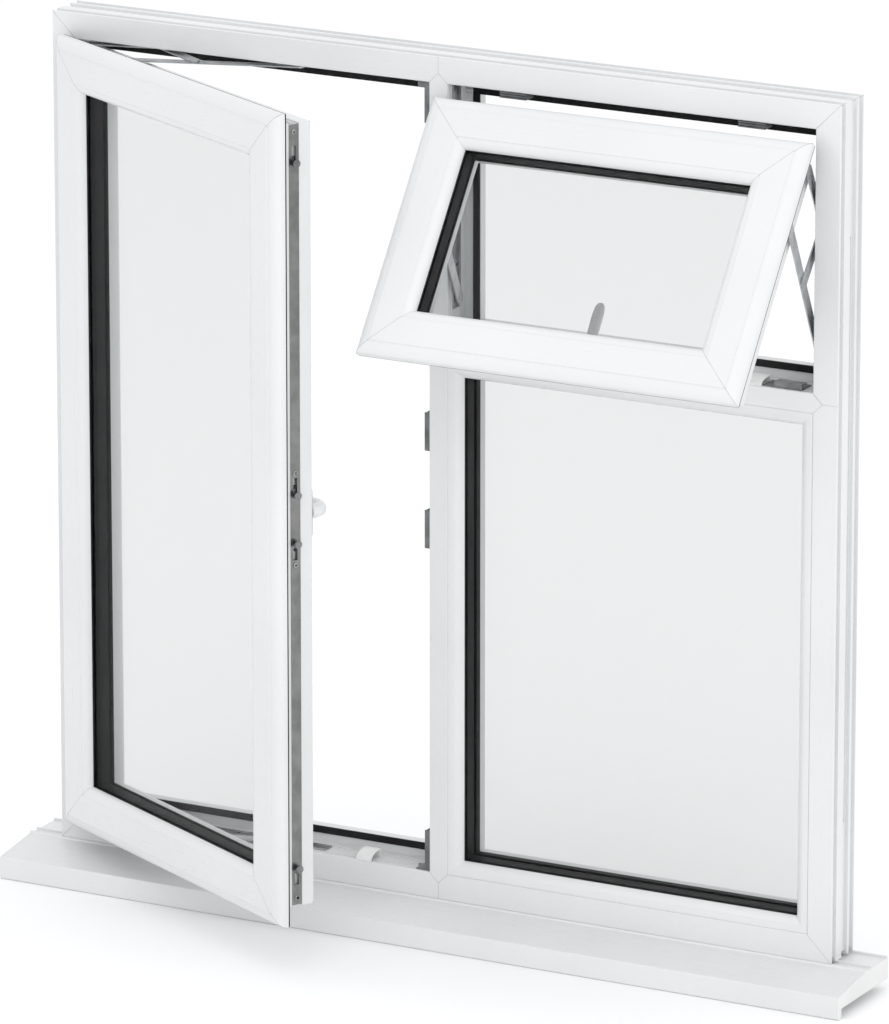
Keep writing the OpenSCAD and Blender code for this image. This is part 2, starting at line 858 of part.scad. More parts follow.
module casement_long_arms() {
    top = level_b + arm_t;
    color(zinc) casement_stays() {
        arm([casement_shoe, gear_y], casement_far, level_b, true, false);
        disc(casement_link_pin, top - 0.5, top + 0.8, 4);
    }
}

module casement_links() {
    color(zinc) casement_stays()
        arm([casement_link_pivot, gear_y], casement_link_pin, level_a, true, false);
}

module casement_shoes() {
    top = level_b + arm_t;
    color(steel) casement_stays() {
        shoe(casement_shoe - 15, casement_shoe + 15);
        disc([casement_shoe, gear_y], track_t + play, top + 0.2, rivet_r);
        disc([casement_shoe, gear_y], top + 0.2, top + 1, 4.2);
    }
}

// Plate in the sash's groove, closed position, with stubs down to the arms
module stay_plate(far, far_bottom) {
    near = stay_pivot_near - lap;
    top = rebate_gap + groove_d;
    translate([4, gear_y - 7.8, rebate_gap]) cube([far + 16, 15.6, groove_d]);
    disc([near, gear_y], level_a + arm_t + play, top - over, 5);
    disc([far, gear_y], far_bottom, top - over, far_bottom < level_b ? rivet_r : 5);
}

module casement_stay_plates() {
    color(zinc) casement_open() casement_stays()
        stay_plate(casement_pivot_far - lap, level_b + arm_t + play);
}

module vent_stay_tracks() {
    color(zinc) vent_stays() {
        track(vent_track_l);
        disc(vent_fixed, track_t, level_b + arm_t + 0.2, rivet_r);
        disc(vent_fixed, level_b + arm_t + 0.2, level_b + arm_t + 1, 4.2);
    }
}

module vent_long_arms() {
    top = level_b + arm_t;
    color(zinc) vent_stays() {
        arm(vent_fixed, vent_far, level_b, true, true);
        disc(vent_link_pin, top - 0.5, top + 0.8, 4);
    }
}

module vent_short_arms() {
    color(zinc) vent_stays() arm([vent_shoe, gear_y], vent_near, level_a, true, false);
}

module vent_links() {
    color(zinc) vent_stays()
        arm([vent_shoe + shoe_span, gear_y], vent_link_pin, level_a, true, false);
}

module vent_shoes() {
    color(steel) vent_stays() {
        shoe(vent_shoe - 9, vent_shoe + shoe_span + 9);
        for (x = [vent_shoe, vent_shoe + shoe_span])
            disc([x, gear_y], track_t + play, level_a + arm_t - fit, rivet_r);
    }
}

module vent_stay_plates() {
    color(zinc) vent_open() vent_stays() stay_plate(vent_pivot_far - lap, level_b - 0.1);
}

// ---- Locks and handles ----
// A lock is drawn flat too: x along the rebate, y as the window's depth, z as the height above
// the rebate floor. Its rods stand in their open position.

slot_play = 0.4;

// Faceplate with its gearbox behind it, slotted for the cams at x positions in cams
module lock(length, cams) {
    mid = length / 2;
    back = rebate_gap + groove_d;
    difference() {
        union() {
            translate([14, gear_y - faceplate_w / 2, rebate_gap + 0.2])
                cube([length - 28, faceplate_w, groove_d - 0.4]);
            translate([mid - gearbox_l / 2, gear_y - 7.5, back - 0.2])
                cube([gearbox_l, 15, platform_u - lap - back - 2]);
        }
        for (c = cams) {
            far = c[0] + c[1] * rod_travel;
            x0 = min(c[0], far) - cam_stem_r - slot_play;
            x1 = max(c[0], far) + cam_stem_r + slot_play;
            translate([x0, gear_y - cam_stem_r - slot_play, rebate_gap - over])
                cube([x1 - x0, 2 * (cam_stem_r + slot_play), groove_d + 2 * over]);
        }
        // Room for the rods to run into the gearbox
        translate([mid - gearbox_l / 2 - over, gear_y - 5.3, back - 0.2])
            cube([gearbox_l + 2 * over, 10.6, 3.4]);
        translate([mid, gear_y - 20, rebate_gap + spindle_in]) rotate([-90, 0, 0])
            cylinder(h = 40, r = 5.2);
    }
    // Screws that hold the faceplate
    for (x = lock_screws(length)) {
        disc([x, gear_y], rebate_gap - 0.3, rebate_gap + 0.2 + eps, screw_r);
        disc([x, gear_y], rebate_gap + groove_d - over, rebate_gap + groove_d + 3, 2);
    }
}

function lock_screws(length) = [
    24, length / 2 - mid_screw, length / 2 + mid_screw, length - 24
];

// Drive rod behind the faceplate from x0 to x1, with a mushroom cam at each x in cams. It has
// a slot for the faceplate's middle screw, and moves away from the gearbox to lock.
module rod(x0, x1, cams, screw, way) {
    back = rebate_gap + groove_d;
    slot = [min(screw, screw - way * rod_travel) - 2.5, max(screw, screw - way * rod_travel) + 2.5];
    difference() {
        translate([x0, gear_y - 4.8, back + 0.3]) cube([x1 - x0, 9.6, 2.4]);
        translate([slot[0], gear_y - 2.5, back]) cube([slot[1] - slot[0], 5, 4]);
    }
    for (c = cams) {
        disc([c, gear_y], cam_top + 1, back + 1.3, cam_stem_r);
        disc([c, gear_y], cam_top, cam_top + 1.8, cam_head_r);
    }
}

casement_lock_l = casement_light[3];
casement_mid = casement_lock_l / 2;
vent_lock_l = vent_light[2];
vent_mid = vent_lock_l / 2;

module casement_lock() {
    cams = [[casement_end_cam, -1], [casement_mid - mid_cam, -1], [casement_mid + mid_cam, 1],
        [casement_lock_l - casement_end_cam, 1]];
    color(steel) casement_open() casement_lock_side() lock(casement_lock_l, cams);
}

module casement_upper_rod() {
    cams = [casement_mid + mid_cam, casement_lock_l - casement_end_cam];
    color(zinc) casement_open() casement_lock_side()
        rod(casement_mid + 6, casement_lock_l - casement_end_cam + 8, cams, casement_mid + mid_screw,
            1);
}

module casement_lower_rod() {
    cams = [casement_end_cam, casement_mid - mid_cam];
    color(zinc) casement_open() casement_lock_side()
        rod(casement_end_cam - 8, casement_mid - 6, cams, casement_mid - mid_screw, -1);
}

module vent_lock() {
    cams = [[vent_end_cam, -1], [vent_lock_l - vent_end_cam, 1]];
    color(steel) vent_open() vent_lock_side() lock(vent_lock_l, cams);
}

module vent_left_rod() {
    color(zinc) vent_open() vent_lock_side()
        rod(vent_end_cam - 8, vent_mid - 6, [vent_end_cam], vent_mid - mid_screw, -1);
}

module vent_right_rod() {
    cam = vent_lock_l - vent_end_cam;
    color(zinc) vent_open() vent_lock_side()
        rod(vent_mid + 6, cam + 8, [cam], vent_mid + mid_screw, 1);
}

handle_base_w = 21;
handle_base_t = 9;
lever_r = 6.5;
lever_t = 14;
room_y = sash_d - proud;

// Base plate on the room face of the lock side, bored for the spindle
module handle_base(length) {
    r = handle_base_w / 2;
    run = handle_base_l / 2 - r;
    translate([length / 2, room_y + handle_base_t, rebate_gap + spindle_in]) rotate([90, 0, 0])
        difference() {
            union() {
                for (x = [-run, run]) translate([x, 0, 0]) cylinder(h = handle_base_t, r = r);
                translate([-run, -r, 0]) cube([2 * run, 2 * r, handle_base_t]);
            }
            translate([0, 0, -over]) cylinder(h = handle_base_t + 2 * over, r = 5.6);
        }
}

// Outline of a round-ended bar of radius r from point a to point b
module stadium(a, b, r) {
    gap = b - a;
    translate(a) rotate(atan2(gap[1], gap[0])) {
        translate([0, -r]) square([norm(gap), 2 * r]);
        circle(r);
        translate([norm(gap), 0]) circle(r);
    }
}

// Lever with its square spindle, pointing to +x along the rebate when turn is 0
module lever(length, turn) {
    boss = room_y + handle_base_t + play;
    elbow = [17, boss + 24];
    translate([length / 2, 0, rebate_gap + spindle_in]) rotate([0, turn, 0]) {
        translate([0, boss, 0]) rotate([-90, 0, 0]) cylinder(h = 14, r1 = 10, r2 = 8.8);
        translate([0, 0, -lever_t / 2]) linear_extrude(lever_t) {
            stadium([0, boss + 12], elbow, 8);
            stadium(elbow, [lever_l - lever_r, boss + 26], lever_r);
        }
        translate([-3.5, gear_y - 6, -3.5]) cube([7, boss - gear_y + 8, 7]);
    }
}

module casement_handle_base() {
    color(white) casement_open() casement_lock_side() handle_base(casement_lock_l);
}

module casement_handle() {
    color(white) casement_open() casement_lock_side() lever(casement_lock_l, -90);
}

module vent_handle_base() {
    color(white) vent_open() vent_lock_side() handle_base(vent_lock_l);
}

module vent_handle() {
    color(white) vent_open() vent_lock_side() lever(vent_lock_l, -90);
}

// ---- Keeps and small gear on the frame ----

keep_y = 4;
keep_h = 9.2;
keep_w = 30;
hook_z = 6.6;
keep_t = 1.5;
keep_screw = 10;
mid_keep_x = mid_cam + keep_gap;
vent_keep_x = vent_mid - vent_end_cam - keep_gap - 1;
corner_keep_l = casement_end_cam - keep_gap;
corner_keep_x = casement_mid - corner_keep_l;

// Keep drawn from x = 0 away from its cam: a base, and a hooked front lip from lip_x onwards
module keep(length, lip_x) {
    lip = gear_y - cam_stem_r - 0.6;
    difference() {
        union() {
            translate([0, keep_y, 0]) cube([length, keep_w, keep_t]);
            translate([lip_x, keep_y, 0]) cube([length - lip_x, 1.6, keep_h]);
            translate([lip_x, keep_y, hook_z]) cube([length - lip_x, lip - keep_y, 1.4]);
        }
        for (x = [keep_screw, length - keep_screw]) translate([x, gear_y + 5, -over])
            cylinder(h = keep_t + 2 * over, r = 2.2);
    }
}

// Puts a child on both sides of the middle of a lock side, a distance away from it
module both_ways(mid, distance) {
    translate([mid + distance, 0, 0]) children();
    translate([mid - distance, 0, 0]) mirror([1, 0, 0]) children();
}

module keeps() {
    color(zinc) {
        casement_lock_side() both_ways(casement_mid, mid_keep_x) keep(keep_l, 0);
        vent_lock_side() both_ways(vent_mid, vent_keep_x) keep(vent_keep_l, 2 * keep_gap + 1);
    }
}

// Corner keeps have a second leg along the rail or the head
module corner_keep() {
    length = corner_keep_l;
    keep(length, 0);
    translate([length - keep_t, keep_y, 0]) cube([keep_t, keep_w, 23]);
    translate([length - keep_h, keep_y, 0]) cube([keep_h, 1.6, 19]);
}

module corner_keeps() {
    color(zinc) casement_lock_side() both_ways(casement_mid, corner_keep_x) corner_keep();
}

// Hollow ramp on a rebate floor that lifts the closing sash on to its seat
module run_up_block(length, top) {
    skin = 2;
    back = 30;
    outer = quarter([22, 0], 21, top);
    inner = quarter([22, 0], 21 - skin, top - skin);
    along_x(length) polygon(concat(outer, [[back, top], [back, 0], [back - skin, 0],
        [back - skin, top - skin]], [for (k = [len(inner) - 1:-1:0]) inner[k]]));
}

run_up_l = 24;

module run_up_blocks() {
    color(white) {
        translate([casement_light[0] + casement_light[2] - 116, 0, casement_light[1]])
            run_up_block(run_up_l, rebate_gap - 0.5);
        vent_lock_side() both_ways(vent_mid, vent_keep_x - run_up_l - 1)
            run_up_block(run_up_l, rebate_gap - 3);
    }
}

protector_l = 40;
protector_h = 10.5;
protector_y = 5;
protector_x = 178;

// Ribbed steel blocks under the head that keep the vent's top rail from being levered out
module hinge_protectors() {
    l = vent_light;
    color(zinc) translate([l[0] + l[2] / 2, 0, l[1] + l[3]]) both_ways(0, protector_x)
        translate([-protector_l / 2, 0, 0]) {
            translate([0, protector_y, -1.5]) cube([protector_l, 24, 1.5]);
            translate([0, protector_y + 3, -protector_h]) cube([protector_l, 18, protector_h - 1]);
            for (k = [0:2]) translate([0, protector_y, 3.4 * k - protector_h])
                cube([protector_l, 4, 1.7]);
        }
}

// Puts a child at both screws of a keep
module at_screws(length) {
    for (x = [keep_screw, length - keep_screw]) translate([x, gear_y + 5, 0]) children();
}

module at_keep_screws() {
    casement_lock_side() {
        both_ways(casement_mid, mid_keep_x) at_screws(keep_l) children();
        both_ways(casement_mid, corner_keep_x) at_screws(corner_keep_l) children();
    }
    vent_lock_side() both_ways(vent_mid, vent_keep_x) at_screws(vent_keep_l) children();
}

// Screws that hold the keeps to the frame
module frame_screws() {
    color(steel) at_keep_screws() {
        disc([0, 0], keep_t, keep_t + 0.6, screw_r);
        disc([0, 0], -wall - 3, keep_t, 1.9);
    }
}

module keep_screw_holes() {
    at_keep_screws() disc([0, 0], -wall - 4, over, 2);
}

at_origin() head();
at_origin() bottom_rail();
at_origin() left_jamb();
at_origin() right_jamb();
at_origin() mullion();
at_origin() transom();
at_origin() frame_steels();
at_origin() sill();
at_origin() sill_end_caps();
at_origin() rebate_gaskets();
at_origin() fixed_gaskets();
at_origin() fixed_glass();
at_origin() fixed_spacer();
at_origin() fixed_beads();
at_origin() fixed_packers();
at_origin() casement_stay_tracks();
at_origin() vent_stay_tracks();
at_origin() keeps();
at_origin() corner_keeps();
at_origin() run_up_blocks();
at_origin() hinge_protectors();
at_origin() frame_screws();
at_origin() casement_rails();
at_origin() casement_hinge_stile();
at_origin() casement_lock_stile();
at_origin() casement_steels();
at_origin() casement_flange_gasket();
at_origin() casement_glass_gaskets();
at_origin() casement_glass();
at_origin() casement_spacer();
at_origin() casement_beads();
at_origin() casement_packers();
at_origin() casement_stay_plates();
at_origin() casement_lock();
at_origin() casement_handle_base();
at_origin() casement_upper_rod();
at_origin() casement_lower_rod();
at_origin() casement_handle();
at_origin() casement_short_arms();
at_origin() casement_long_arms();
at_origin() casement_links();
at_origin() casement_shoes();
at_origin() vent_rails();
at_origin() vent_stiles();
at_origin() vent_steels();
at_origin() vent_flange_gasket();
at_origin() vent_glass_gaskets();
at_origin() vent_glass();
at_origin() vent_spacer();
at_origin() vent_beads();
at_origin() vent_stay_plates();
at_origin() vent_lock();
at_origin() vent_handle_base();
at_origin() vent_left_rod();
at_origin() vent_right_rod();
at_origin() vent_handle();
at_origin() vent_short_arms();
at_origin() vent_long_arms();
at_origin() vent_links();
at_origin() vent_shoes();
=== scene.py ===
"""Looks for the three-light casement window: satin white profiles, rubber seals, clear glass,
plated stays, locks and keeps, and the moulded handles."""

import json
import math

import bmesh
import bpy
from mathutils import Matrix, Vector


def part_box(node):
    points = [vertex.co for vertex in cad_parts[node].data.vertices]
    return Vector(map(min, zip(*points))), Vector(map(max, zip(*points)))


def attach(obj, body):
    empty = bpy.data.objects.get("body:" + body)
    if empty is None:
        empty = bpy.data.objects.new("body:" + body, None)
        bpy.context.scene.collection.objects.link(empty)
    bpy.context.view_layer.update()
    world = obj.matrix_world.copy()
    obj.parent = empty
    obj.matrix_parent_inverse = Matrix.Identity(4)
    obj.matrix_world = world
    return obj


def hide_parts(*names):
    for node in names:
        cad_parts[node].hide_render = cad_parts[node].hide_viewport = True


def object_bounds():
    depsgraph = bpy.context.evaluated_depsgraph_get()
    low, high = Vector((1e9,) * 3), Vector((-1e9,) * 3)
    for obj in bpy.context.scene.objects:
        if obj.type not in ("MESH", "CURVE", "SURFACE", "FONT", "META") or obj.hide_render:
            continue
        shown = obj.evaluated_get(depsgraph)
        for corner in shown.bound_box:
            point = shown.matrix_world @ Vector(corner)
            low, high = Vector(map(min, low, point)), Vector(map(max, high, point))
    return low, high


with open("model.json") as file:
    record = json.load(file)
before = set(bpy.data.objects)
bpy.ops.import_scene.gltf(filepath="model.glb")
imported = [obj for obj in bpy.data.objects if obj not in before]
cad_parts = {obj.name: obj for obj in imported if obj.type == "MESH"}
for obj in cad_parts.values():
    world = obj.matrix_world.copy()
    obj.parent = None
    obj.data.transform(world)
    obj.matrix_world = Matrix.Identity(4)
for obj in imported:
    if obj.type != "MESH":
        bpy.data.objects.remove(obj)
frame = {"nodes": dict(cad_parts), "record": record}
cad_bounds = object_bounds()
nodes = frame["nodes"]
joints = {j["name"]: j for j in frame["record"]["behaviour"]["joints"]}
body_of = {n: b for b, group in frame["record"]["behaviour"]["bodies"].items() for n in group}
slot_of = {s["node"]: s["material_slot"] for s in frame["record"]["subparts"]}

MM = 0.001
# Points of a CAD mesh that are closer than this are one point
SAME_POINT = 0.002 * MM
OUT = Vector((0, 1, 0))
UP = Vector((0, 0, 1))
ACROSS = Vector((1, 0, 0))

# ---- Camera ----

AZIMUTH = math.radians(28.01)
ELEVATION = math.radians(15.89)
DISTANCE = 12.61
AIM = Vector((0.0096, -0.035, 0.5875))
SENSOR_WIDTH = 36
LENS = 325.8
CLIP_END = 100

camera_data = bpy.data.cameras.new("camera")
camera = bpy.data.objects.new("camera", camera_data)
bpy.context.scene.collection.objects.link(camera)
toward = Vector((
    math.sin(AZIMUTH) * math.cos(ELEVATION),
    -math.cos(AZIMUTH) * math.cos(ELEVATION),
    math.sin(ELEVATION),
))
camera.location = AIM + DISTANCE * toward
camera.rotation_euler = (-toward).to_track_quat("-Z", "Y").to_euler()
camera_data.sensor_width = SENSOR_WIDTH
camera_data.lens = LENS
camera_data.clip_end = CLIP_END
bpy.context.scene.camera = camera

# ---- Materials ----

# The part of a noise's range that holds nearly all of it, and the part where two tints meet
NOISE_RANGE = (0.3, 0.7)
TINT_RANGE = (0.35, 0.65)


def new_material(name):
    material = bpy.data.materials.new(name)
    material.use_nodes = True
    tree = material.node_tree
    shader = tree.nodes["Principled BSDF"]
    return material, tree, shader


def place_pattern(tree, stretch, turn):
    """Object coordinates, turned and stretched so that a grain runs along one way of the piece."""
    where = tree.nodes.new("ShaderNodeTexCoord")
    mapping = tree.nodes.new("ShaderNodeMapping")
    mapping.vector_type = "TEXTURE"
    mapping.inputs["Rotation"].default_value = turn
    mapping.inputs["Scale"].default_value = stretch
    tree.links.new(where.outputs["Object"], mapping.inputs["Vector"])
    return mapping.outputs["Vector"]


def noise(tree, vector, scale, detail=3.0, rough=0.55):
    node = tree.nodes.new("ShaderNodeTexNoise")
    node.inputs["Scale"].default_value = scale
    node.inputs["Detail"].default_value = detail
    node.inputs["Roughness"].default_value = rough
    tree.links.new(vector, node.inputs["Vector"])
    return node.outputs["Fac"]


def spread(tree, value, low, high):
    """Takes a noise from its usual range to the range low to high."""
    node = tree.nodes.new("ShaderNodeMapRange")
    node.inputs["From Min"].default_value = NOISE_RANGE[0]
    node.inputs["From Max"].default_value = NOISE_RANGE[1]
    node.inputs["To Min"].default_value = low
    node.inputs["To Max"].default_value = high
    tree.links.new(value, node.inputs["Value"])
    return node.outputs["Result"]


def two_tints(tree, value, dark, light):
    """Blends from a dark to a light tint as a noise rises."""
    ramp = tree.nodes.new("ShaderNodeValToRGB")
    ramp.color_ramp.elements[0].position = TINT_RANGE[0]
    ramp.color_ramp.elements[0].color = (*dark, 1)
    ramp.color_ramp.elements[1].position = TINT_RANGE[1]
    ramp.color_ramp.elements[1].color = (*light, 1)
    tree.links.new(value, ramp.inputs["Fac"])
    return ramp.outputs["Color"]


def raise_by(tree, shader, height, strength, distance, under=None):
    """Bumps the surface by a noise, over another bump if one is given."""
    bump = tree.nodes.new("ShaderNodeBump")
    bump.inputs["Strength"].default_value = strength
    bump.inputs["Distance"].default_value = distance
    tree.links.new(height, bump.inputs["Height"])
    if under is not None:
        tree.links.new(under, bump.inputs["Normal"])
    tree.links.new(bump.outputs["Normal"], shader.inputs["Normal"])
    return bump.outputs["Normal"]


ALONG_X = (30, 1, 1)
ALONG_Z = (1, 1, 30)
NO_STRETCH = (1, 1, 1)
NO_TURN = (0, 0, 0)

WHITE_LOW = (0.7, 0.708, 0.71)
WHITE_HIGH = (0.73, 0.738, 0.74)
PVC_GLOSS = (0.27, 0.33)
PVC_IOR = 1.53
# Noise scales of the tint, the die lines and the orange peel, and how deep the last two are
PVC_CLOUD = 3.5
PVC_LINES = 1100
PVC_PEEL = 900
PVC_BUMP = (0.04, 0.03 * MM)


def extruded_plastic(name, stretch, turn=NO_TURN):
    """Satin white uPVC: faint die lines along the profile over a very fine orange peel."""
    material, tree, shader = new_material(name)
    grain = place_pattern(tree, stretch, turn)
    even = place_pattern(tree, NO_STRETCH, NO_TURN)
    tint = two_tints(tree, noise(tree, even, PVC_CLOUD, 4), WHITE_LOW, WHITE_HIGH)
    tree.links.new(tint, shader.inputs["Base Color"])
    die_lines = noise(tree, grain, PVC_LINES, 2, 0.5)
    tree.links.new(spread(tree, die_lines, *PVC_GLOSS), shader.inputs["Roughness"])
    lines = raise_by(tree, shader, die_lines, *PVC_BUMP)
    raise_by(tree, shader, noise(tree, even, PVC_PEEL, 2), *PVC_BUMP, lines)
    shader.inputs["IOR"].default_value = PVC_IOR
    return material


# Noise scales of a moulded surface's tint and gloss, the height of its texture, and the
# roughness of a clear coat
MOULDED_CLOUD = 14
MOULDED_GLOSS = 60
MOULDED_HEIGHT = 0.1 * MM
COAT_ROUGHNESS = 0.12


def moulded(name, dark, light, gloss, peel=0.15, scale=700, coat=0.0, shine=0.5):
    """Moulded or painted surface with an even, fine texture."""
    material, tree, shader = new_material(name)
    even = place_pattern(tree, NO_STRETCH, NO_TURN)
    tint = two_tints(tree, noise(tree, even, MOULDED_CLOUD, 4), dark, light)
    tree.links.new(tint, shader.inputs["Base Color"])
    rough = spread(tree, noise(tree, even, MOULDED_GLOSS, 4), *gloss)
    tree.links.new(rough, shader.inputs["Roughness"])
    raise_by(tree, shader, noise(tree, even, scale, 3), peel, MOULDED_HEIGHT)
    shader.inputs["Coat Weight"].default_value = coat
    shader.inputs["Specular IOR Level"].default_value = shine
    shader.inputs["Coat Roughness"].default_value = COAT_ROUGHNESS
    return material


# Noise scales of the cloudy plating and of the brushing, and the height of the brushing
PLATING_CLOUD = 45
BRUSHING = 1500
BRUSHING_HEIGHT = 0.08 * MM


def plated(name, dark, light, gloss, stretch, lines=0.25):
    """Rolled or plated steel: brushed along its length, with cloudy patches in the plating."""
    material, tree, shader = new_material(name)
    grain = place_pattern(tree, stretch, NO_TURN)
    even = place_pattern(tree, NO_STRETCH, NO_TURN)
    tint = two_tints(tree, noise(tree, even, PLATING_CLOUD, 5), dark, light)
    tree.links.new(tint, shader.inputs["Base Color"])
    brushed = noise(tree, grain, BRUSHING, 3, 0.7)
    tree.links.new(spread(tree, brushed, *gloss), shader.inputs["Roughness"])
    raise_by(tree, shader, brushed, lines, BRUSHING_HEIGHT)
    shader.inputs["Metallic"].default_value = 1.0
    return material


GLASS_TINT = (0.945, 0.948, 0.947, 1)
MIRROR_TINT = (0.93, 0.94, 0.94, 1)
MIRROR_GLOSS = (0.02, 0.05)
# The mirrored share of light: its rise with the slant, at full slant, and face on
MIRROR_POWER = 5.0
MIRROR_AT_SLANT = 0.3
MIRROR_FACE_ON = 0.005


def clear_glass():
    """Float glass: it lets light straight through, a little grey, and mirrors more at a slant."""
    material = bpy.data.materials.new("float glass")
    material.use_nodes = True
    tree = material.node_tree
    tree.nodes.clear()
    out = tree.nodes.new("ShaderNodeOutputMaterial")
    mix = tree.nodes.new("ShaderNodeMixShader")
    through = tree.nodes.new("ShaderNodeBsdfTransparent")
    through.inputs["Color"].default_value = GLASS_TINT
    mirror = tree.nodes.new("ShaderNodeBsdfPrincipled")
    mirror.inputs["Base Color"].default_value = MIRROR_TINT
    mirror.inputs["Metallic"].default_value = 1.0
    even = place_pattern(tree, NO_STRETCH, NO_TURN)
    rough = spread(tree, noise(tree, even, 5, 2), *MIRROR_GLOSS)
    tree.links.new(rough, mirror.inputs["Roughness"])
    edge = tree.nodes.new("ShaderNodeLayerWeight")
    edge.inputs["Blend"].default_value = 0.5
    power = tree.nodes.new("ShaderNodeMath")
    power.operation = "POWER"
    power.inputs[1].default_value = MIRROR_POWER
    tree.links.new(edge.outputs["Facing"], power.inputs[0])
    share = tree.nodes.new("ShaderNodeMath")
    share.operation = "MULTIPLY_ADD"
    share.inputs[1].default_value = MIRROR_AT_SLANT
    share.inputs[2].default_value = MIRROR_FACE_ON
    tree.links.new(power.outputs["Value"], share.inputs[0])
    tree.links.new(share.outputs["Value"], mix.inputs["Fac"])
    tree.links.new(through.outputs["BSDF"], mix.inputs[1])
    tree.links.new(mirror.outputs["BSDF"], mix.inputs[2])
    tree.links.new(mix.outputs["Shader"], out.inputs["Surface"])
    return material


def direction(joint):
    return Vector(joints[joint]["axis"]).normalized()


# Each sash stands turned about one axis: its room side faces along its handle's spindle
casement_room = -direction("casement_handle_turn")
vent_room = direction("vent_handle_turn")
casement_turn = (0, 0, -math.atan2(casement_room.x, casement_room.y))
vent_turn = (math.atan2(vent_room.z, vent_room.y), 0, 0)

white_x = extruded_plastic("white uPVC, level profiles", ALONG_X)
white_z = extruded_plastic("white uPVC, upright profiles", ALONG_Z)
casement_white = extruded_plastic("white uPVC, casement rails", ALONG_X, casement_turn)
vent_white = extruded_plastic("white uPVC, vent stiles", ALONG_Z, vent_turn)
nylon = moulded("white nylon", (0.72, 0.725, 0.715), (0.76, 0.765, 0.755), (0.38, 0.5), 0.2, 500)
handle_paint = moulded(
    "white powder coat", (0.74, 0.75, 0.755), (0.79, 0.797, 0.8), (0.2, 0.3), 0.12, 900, 0.3)
seal = moulded("black rubber seal", (0.007, 0.007, 0.008), (0.014, 0.014, 0.015), (0.5, 0.65),
               0.35, 420, 0.0, 0.2)
warm_edge = moulded("black spacer", (0.008, 0.008, 0.009), (0.015, 0.015, 0.016), (0.5, 0.65),
                    0.3, 350, 0.0, 0.15)
packer_grey = moulded("packer", (0.03, 0.03, 0.03), (0.05, 0.05, 0.05), (0.4, 0.55))
STAINLESS = ((0.42, 0.43, 0.44), (0.56, 0.57, 0.58), (0.22, 0.38))
stay_x = plated("stainless stays", *STAINLESS, (25, 1, 1))
stay_z = plated("stainless upright stays", *STAINLESS, (1, 1, 25))
LOCK_STEEL = ((0.2, 0.2, 0.195), (0.27, 0.27, 0.265), (0.28, 0.42))
lock_z = plated("satin lock steel, upright", *LOCK_STEEL, (1, 1, 40))
lock_x = plated("satin lock steel, level", *LOCK_STEEL, (40, 1, 1))
zinc = plated("zinc plate", (0.16, 0.165, 0.17), (0.26, 0.265, 0.27), (0.34, 0.5), (3, 3, 3),
              0.15)
screw_steel = plated("bright screws", (0.5, 0.5, 0.51), (0.66, 0.66, 0.67), (0.2, 0.32),
                     (2, 2, 2), 0.1)
galvanised = plated("galvanised steel", (0.42, 0.43, 0.44), (0.6, 0.6, 0.61), (0.35, 0.5),
                    (4, 4, 4))
glass = clear_glass()

FINISH_BY_SLOT = {
    "gasket": seal, "glass": glass, "spacer": warm_edge, "packers": packer_grey,
    "reinforcement": galvanised, "stay_steel": stay_x, "lock_steel": lock_z,
    "keep_zinc": zinc, "handle_paint": handle_paint,
}
FINISH = {
    "head": white_x, "bottom_rail": white_x, "transom": white_x, "left_jamb": white_z,
    "right_jamb": white_z, "mullion": white_z, "sill": white_x, "sill_end_caps": nylon,
    "fixed_beads": white_z, "casement_beads": casement_white, "vent_beads": vent_white,
    "casement_rails": casement_white, "casement_hinge_stile": white_z,
    "casement_lock_stile": white_z, "vent_rails": white_x, "vent_stiles": vent_white,
    "keeps": zinc, "corner_keeps": zinc, "run_up_blocks": nylon, "hinge_protectors": zinc,
    "frame_screws": screw_steel, "casement_lock": lock_z, "vent_lock": lock_x,
    "casement_upper_rod": zinc, "casement_lower_rod": zinc, "vent_left_rod": zinc,
    "vent_right_rod": zinc, "vent_stay_tracks": stay_z, "vent_long_arms": stay_z,
    "vent_short_arms": stay_z, "vent_links": stay_z, "vent_shoes": stay_z,
    "vent_stay_plates": stay_z,
}


def finish_for(node):
    if node in FINISH:
        return FINISH[node]
    return FINISH_BY_SLOT[slot_of[node]]


for name, node in nodes.items():
    node.data.materials.clear()
    node.data.materials.append(finish_for(name))

# ---- Pieces ----


def add_piece(name, mesh_maker, body, material):
    """Makes a bmesh into a piece that rides on a body."""
    mesh = bpy.data.meshes.new(name)
    mesh_maker.to_mesh(mesh)
    mesh_maker.free()
    piece = bpy.data.objects.new(name, mesh)
    bpy.context.scene.collection.objects.link(piece)
    mesh.materials.append(material)
    mesh.shade_smooth()
    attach(piece, body)
    return piece


def soften(piece, width, segments=2, angle=32):
    """Rounds the edges sharper than an angle in degrees and keeps the flats flat."""
    bevel = piece.modifiers.new("edges", "BEVEL")
    bevel.limit_method = "ANGLE"
    bevel.angle_limit = math.radians(angle)
    bevel.width = width
    bevel.segments = segments
    bevel.use_clamp_overlap = True
    even = piece.modifiers.new("flats", "WEIGHTED_NORMAL")
    even.keep_sharp = True
    even.weight = 80


def merged_copy(node):
    """A CAD node's mesh as one connected skin."""
    shape = bmesh.new()
    shape.from_mesh(nodes[node].data)
    bmesh.ops.remove_doubles(shape, verts=shape.verts, dist=SAME_POINT)
    return shape


def dressed(node, width):
    """A copy of a CAD node with its edges rounded, standing for the node."""
    piece = add_piece(
        node + "_dressed", merged_copy(node), body_of[node], finish_for(node))
    soften(piece, width)
    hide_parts(node)


